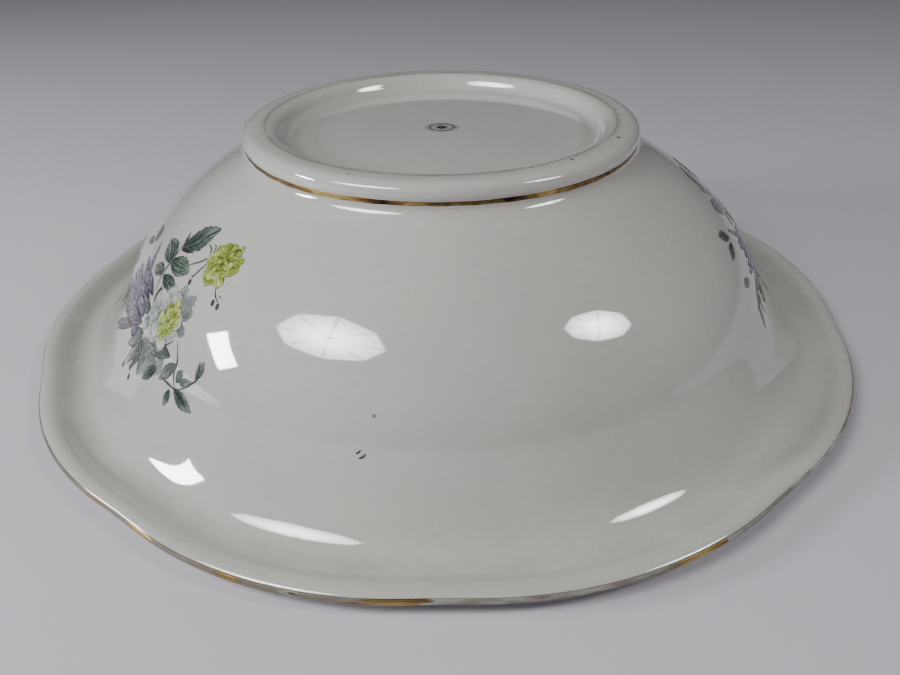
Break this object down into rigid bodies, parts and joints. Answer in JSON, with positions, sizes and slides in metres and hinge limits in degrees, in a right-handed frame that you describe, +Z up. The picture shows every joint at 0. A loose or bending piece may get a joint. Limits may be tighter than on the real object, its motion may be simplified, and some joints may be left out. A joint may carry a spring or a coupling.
{
  "type": "porcelain serving bowl",
  "caption": "Wide round porcelain bowl with a scalloped rolled rim on a low foot ring, with a gilt foot line and printed rose sprays.",
  "frame": {"origin": "centre of the foot, on the plane that the bowl stands on", "axes": "+Z up out of the bowl's mouth; the first rose spray is between +X and -Y, the second round -X"},
  "size_m": [0.4452, 0.4438, 0.115],
  "materials": {
    "glazed_porcelain": "clear gloss glaze, finely crazed",
    "gilding": "fired gold, worn and tarnished",
    "transfer_print": "printed and hand tinted under the glaze",
    "mark_print": "plain dark stamp under the glaze"
  },
  "bodies": {
    "root": {"bowl_body": "glazed_porcelain", "foot_ring": "glazed_porcelain", "gilt_foot_line": "gilding", "gilt_rim_edge": "gilding", "rose_spray_a": "transfer_print", "rose_spray_b": "transfer_print", "stray_leaf": "transfer_print", "base_mark": "mark_print"}
  },
  "joints": []
}
